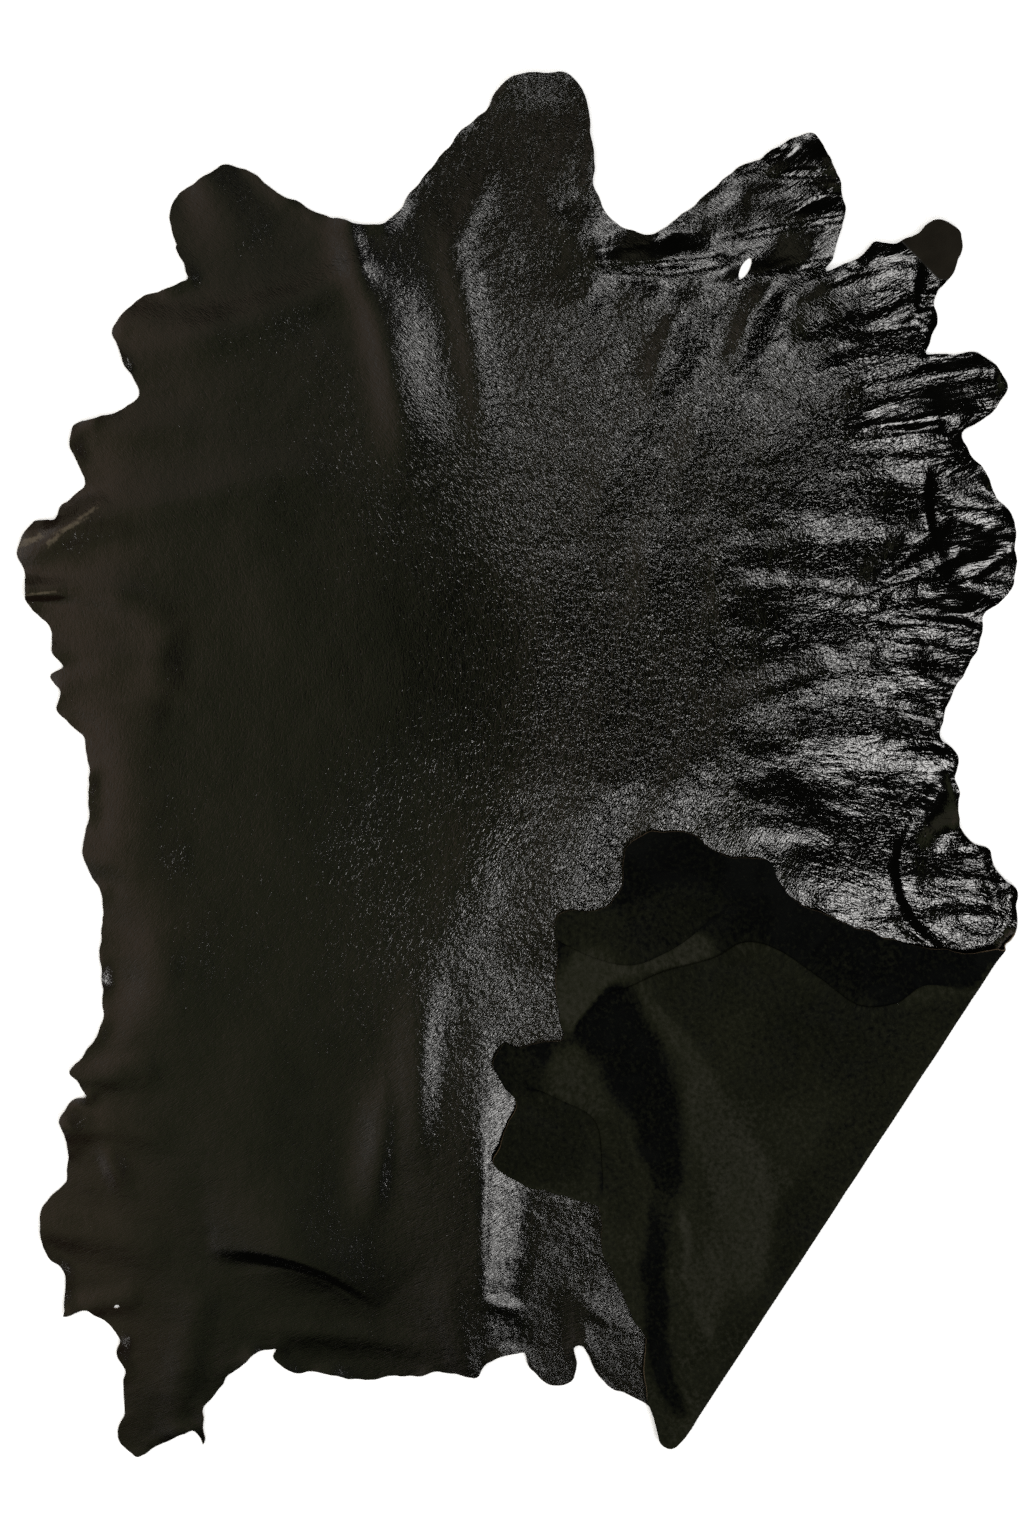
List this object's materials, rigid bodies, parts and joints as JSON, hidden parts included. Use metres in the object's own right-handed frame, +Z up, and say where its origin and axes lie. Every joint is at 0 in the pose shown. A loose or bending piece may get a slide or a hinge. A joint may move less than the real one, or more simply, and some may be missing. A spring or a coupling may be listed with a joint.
{
  "type": "leather hide",
  "caption": "Whole black crinkle-gloss leather hide lying grain side up with a ragged edge and one lower corner folded over diagonally to show its flesh side.",
  "frame": {"origin": "middle of the hide's bounding rectangle, on the surface it lies on", "axes": "+Z up out of the grain side of the spread part, +Y from the tail end to the neck, +X across the hide to the right as seen from above with the neck at the top"},
  "size_m": [0.8747, 1.2171, 0.0129],
  "materials": {
    "leather": "crinkled gloss grain side, matte suede flesh side"
  },
  "bodies": {
    "root": {"hide": "leather"}
  },
  "joints": []
}
